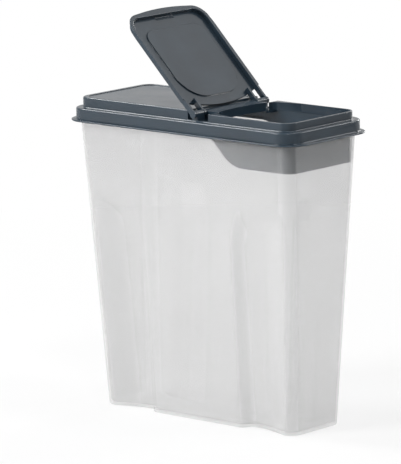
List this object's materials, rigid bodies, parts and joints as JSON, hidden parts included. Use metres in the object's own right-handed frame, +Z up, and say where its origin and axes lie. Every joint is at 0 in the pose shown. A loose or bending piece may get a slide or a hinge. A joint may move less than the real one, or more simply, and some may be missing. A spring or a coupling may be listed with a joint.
{
  "type": "cereal container with flip spout",
  "caption": "Tall slim translucent storage tub with grip recesses, a lift-off two-tier lid with a pour collar, and a hinged cap over its pouring mouth, shown open.",
  "frame": {"origin": "middle of the underside, on the surface that the tub stands on", "axes": "+X along the length towards the pouring end, +Y through the depth, +Z up"},
  "size_m": [0.2858, 0.1206, 0.3821],
  "materials": {
    "tub_plastic": "frosted translucent polypropylene",
    "lid_plastic": "satin moulded polypropylene",
    "cap_plastic": "satin moulded polypropylene"
  },
  "bodies": {
    "tub": {"tub": "tub_plastic"},
    "lid": {"lid": "lid_plastic"},
    "flip_cap": {"flip_cap": "cap_plastic"}
  },
  "joints": [
    {"name": "lid_lift", "type": "slide", "parent": "tub", "child": "lid", "axis": [0, 0, 1], "range_m": [0, 0.055]},
    {"name": "cap_hinge", "type": "hinge", "parent": "lid", "child": "flip_cap", "pos_m": [0.017, 0, 0.295], "axis": [0, 1, 0], "range_deg": [0, 135]}
  ]
}
